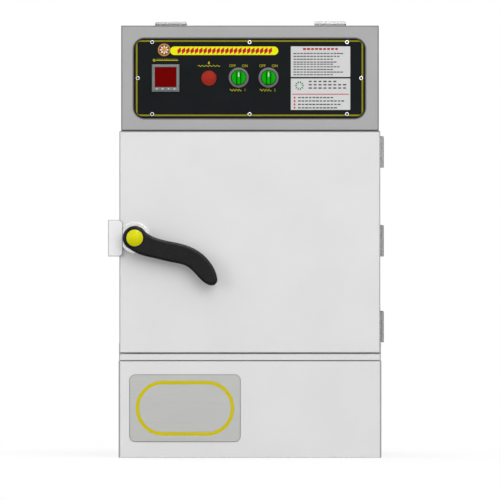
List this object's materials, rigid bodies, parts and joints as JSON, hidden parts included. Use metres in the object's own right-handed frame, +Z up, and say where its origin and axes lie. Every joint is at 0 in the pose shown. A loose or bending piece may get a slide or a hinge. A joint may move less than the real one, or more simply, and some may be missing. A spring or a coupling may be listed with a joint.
{
  "type": "countertop steamer",
  "caption": "Electric steam cabinet: insulated chamber with slide-in trays behind a lever-latched door, water tank in the base and a hinged control panel on top.",
  "frame": {"origin": "middle of the base's underside, which the cabinet stands on", "axes": "+Z up, -Y out of the door, +X to the right as the door is faced"},
  "size_m": [0.4831, 0.588, 0.7642],
  "materials": {
    "painted_body": "light grey powder coat, satin",
    "painted_head": "mid grey powder coat, satin",
    "stainless": "fine brushed stainless steel",
    "galvanised": "zinc-plated steel sheet",
    "hinge_steel": "satin rolled steel",
    "cast_case": "light grey painted casting",
    "badge_panel": "pale grey anodised plate",
    "control_black": "matt black lacquered plate",
    "lever_black": "black moulded lever, satin gloss",
    "cap_yellow": "yellow moulded cap, gloss",
    "controller_grey": "grey moulded bezel",
    "display_red": "dark red window",
    "key_grey": "light grey key",
    "lamp_red": "red lens",
    "selector_grey": "grey moulded bezel",
    "selector_green": "green moulded knob",
    "silicone": "pale grey silicone",
    "mineral_wool": "pressed mineral wool",
    "brass_fitting": "machined brass",
    "electric_black": "black moulded electrical part",
    "red_grip": "red dipped vinyl"
  },
  "bodies": {
    "root": {"base_shell": "painted_body", "outer_shell": "painted_body", "joint_band": "painted_body", "drip_gutter": "painted_body", "rear_cover": "painted_body", "base_bottom_plate": "galvanised", "latch_keeper": "galvanised", "tank_pad": "mineral_wool", "chamber_insulation": "mineral_wool", "badge_plate": "badge_panel", "water_tank": "stainless", "heaters": "stainless", "level_switch_stem": "stainless", "chamber_liner": "stainless", "front_frame": "stainless", "vent_pipe": "stainless", "tray_racks": "stainless", "diffuser_plate": "stainless", "float_valve_body": "brass_fitting", "drain_valve_body": "brass_fitting", "side_hinge_body_leaves": "hinge_steel", "top_hinge_fixed_leaves": "hinge_steel", "hinge_pins": "hinge_steel", "head_housing": "painted_head", "contactor": "electric_black", "terminal_strip": "electric_black", "cable_gland": "electric_black"},
    "door": {"door_outer_pan": "painted_body", "door_inner_pan": "stainless", "handle_rose": "stainless", "door_insulation": "mineral_wool", "door_gasket": "silicone", "side_hinge_door_leaves": "hinge_steel", "latch_housing": "cast_case"},
    "handle": {"lever_handle": "lever_black", "handle_cap": "cap_yellow", "latch_spindle": "galvanised", "latch_tongue": "galvanised"},
    "control_cover": {"head_cover": "painted_head", "top_hinge_cover_leaves": "hinge_steel", "control_plate": "control_black", "panel_screws": "stainless", "controller_case": "controller_grey", "controller_window": "display_red", "low_water_lamp": "lamp_red", "selector_bodies": "selector_grey"},
    "selector_1": {"selector_knob_1": "selector_green"},
    "selector_2": {"selector_knob_2": "selector_green"},
    "drain_lever": {"drain_lever": "red_grip"},
    "float_arm": {"float_arm": "brass_fitting", "float_ball": "stainless"},
    "level_float": {"level_float": "stainless"},
    "key_1": {"controller_key_1": "key_grey"},
    "tray_1": {"tray_1": "stainless"},
    "key_2": {"controller_key_2": "key_grey"},
    "tray_2": {"tray_2": "stainless"},
    "key_3": {"controller_key_3": "key_grey"},
    "tray_3": {"tray_3": "stainless"},
    "key_4": {"controller_key_4": "key_grey"},
    "tray_4": {"tray_4": "stainless"}
  },
  "joints": [
    {"name": "door_hinge", "type": "hinge", "parent": "root", "child": "door", "pos_m": [0.23115, -0.20825, 0.3791], "axis": [0, 0, 1], "range_deg": [0, 130]},
    {"name": "handle_turn", "type": "hinge", "parent": "door", "child": "handle", "pos_m": [-0.2014, -0.25, 0.3846], "axis": [0, 1, 0], "range_deg": [0, 90]},
    {"name": "control_cover_hinge", "type": "hinge", "parent": "root", "child": "control_cover", "pos_m": [0, -0.2215, 0.76045], "axis": [-1, 0, 0], "range_deg": [0, 90]},
    {"name": "drain_lever_turn", "type": "hinge", "parent": "root", "child": "drain_lever", "pos_m": [0.128, 0.274, 0.069], "axis": [0, 0, 1], "range_deg": [0, 90]},
    {"name": "float_arm_swing", "type": "hinge", "parent": "root", "child": "float_arm", "pos_m": [-0.125, 0.12052, 0.128], "axis": [-1, 0, 0], "range_deg": [0, 20]},
    {"name": "level_float_rise", "type": "slide", "parent": "root", "child": "level_float", "axis": [0, 0, 1], "range_m": [0, 0.05]},
    {"name": "selector_1_turn", "type": "hinge", "parent": "control_cover", "child": "selector_1", "pos_m": [-0.0198, -0.248, 0.6652], "axis": [0, 1, 0], "range_deg": [-45, 45]},
    {"name": "selector_2_turn", "type": "hinge", "parent": "control_cover", "child": "selector_2", "pos_m": [0.0325, -0.248, 0.6652], "axis": [0, 1, 0], "range_deg": [-45, 45]},
    {"name": "key_1_press", "type": "slide", "parent": "control_cover", "child": "key_1", "axis": [0, 1, 0], "range_m": [0, 0.0008], "stiffness_N_per_m": 100},
    {"name": "key_2_press", "type": "slide", "parent": "control_cover", "child": "key_2", "axis": [0, 1, 0], "range_m": [0, 0.0008], "stiffness_N_per_m": 100},
    {"name": "key_3_press", "type": "slide", "parent": "control_cover", "child": "key_3", "axis": [0, 1, 0], "range_m": [0, 0.0008], "stiffness_N_per_m": 100},
    {"name": "key_4_press", "type": "slide", "parent": "control_cover", "child": "key_4", "axis": [0, 1, 0], "range_m": [0, 0.0008], "stiffness_N_per_m": 100},
    {"name": "tray_1_slide", "type": "slide", "parent": "root", "child": "tray_1", "axis": [0, -1, 0], "range_m": [0, 0.03]},
    {"name": "tray_2_slide", "type": "slide", "parent": "root", "child": "tray_2", "axis": [0, -1, 0], "range_m": [0, 0.03]},
    {"name": "tray_3_slide", "type": "slide", "parent": "root", "child": "tray_3", "axis": [0, -1, 0], "range_m": [0, 0.03]},
    {"name": "tray_4_slide", "type": "slide", "parent": "root", "child": "tray_4", "axis": [0, -1, 0], "range_m": [0, 0.03]}
  ]
}
